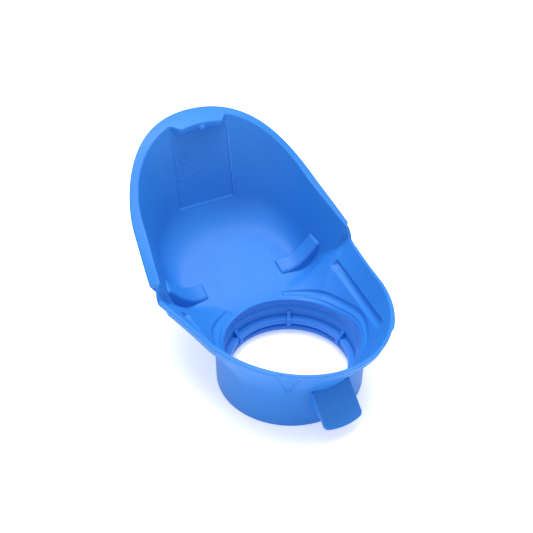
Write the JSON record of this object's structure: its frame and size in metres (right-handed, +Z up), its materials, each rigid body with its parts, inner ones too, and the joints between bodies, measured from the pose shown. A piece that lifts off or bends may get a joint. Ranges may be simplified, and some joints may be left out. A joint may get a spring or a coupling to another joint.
{
  "type": "urine bottle mouthpiece",
  "caption": "Blue plastic urine bottle mouthpiece with a tall scoop-shaped hood, a low front funnel, a round push-fit neck collar and a small thumb tab.",
  "frame": {"origin": "on the plane the neck collar stands on, midway along the overall length and width", "axes": "+X to the right across the width, +Y from the thumb tab towards the hood's tip, +Z up along the neck collar's axis"},
  "size_m": [0.1076, 0.1502, 0.0974],
  "materials": {
    "blue_plastic": "satin"
  },
  "bodies": {
    "root": {"dial_mark_1": "blue_plastic", "dial_mark_2": "blue_plastic", "dial_mark_3": "blue_plastic", "end_panel": "blue_plastic", "flange_gusset_left": "blue_plastic", "flange_gusset_right": "blue_plastic", "funnel_lip_front": "blue_plastic", "funnel_lip_left": "blue_plastic", "funnel_lip_right": "blue_plastic", "funnel_shell": "blue_plastic", "hood_flange": "blue_plastic", "hood_shell": "blue_plastic", "lip_facet_left": "blue_plastic", "lip_facet_right": "blue_plastic", "neck_collar": "blue_plastic", "snap_bead": "blue_plastic", "stop_block_left": "blue_plastic", "stop_block_right": "blue_plastic", "stop_rib_1": "blue_plastic", "stop_rib_2": "blue_plastic", "stop_rib_3": "blue_plastic", "stop_rib_4": "blue_plastic", "stop_rib_5": "blue_plastic", "stop_rib_6": "blue_plastic", "stop_ring_1": "blue_plastic", "stop_ring_2": "blue_plastic", "stop_ring_3": "blue_plastic", "stop_ring_4": "blue_plastic", "stop_ring_5": "blue_plastic", "stop_ring_6": "blue_plastic", "thumb_tab": "blue_plastic", "tip_lip": "blue_plastic"}
  },
  "joints": []
}
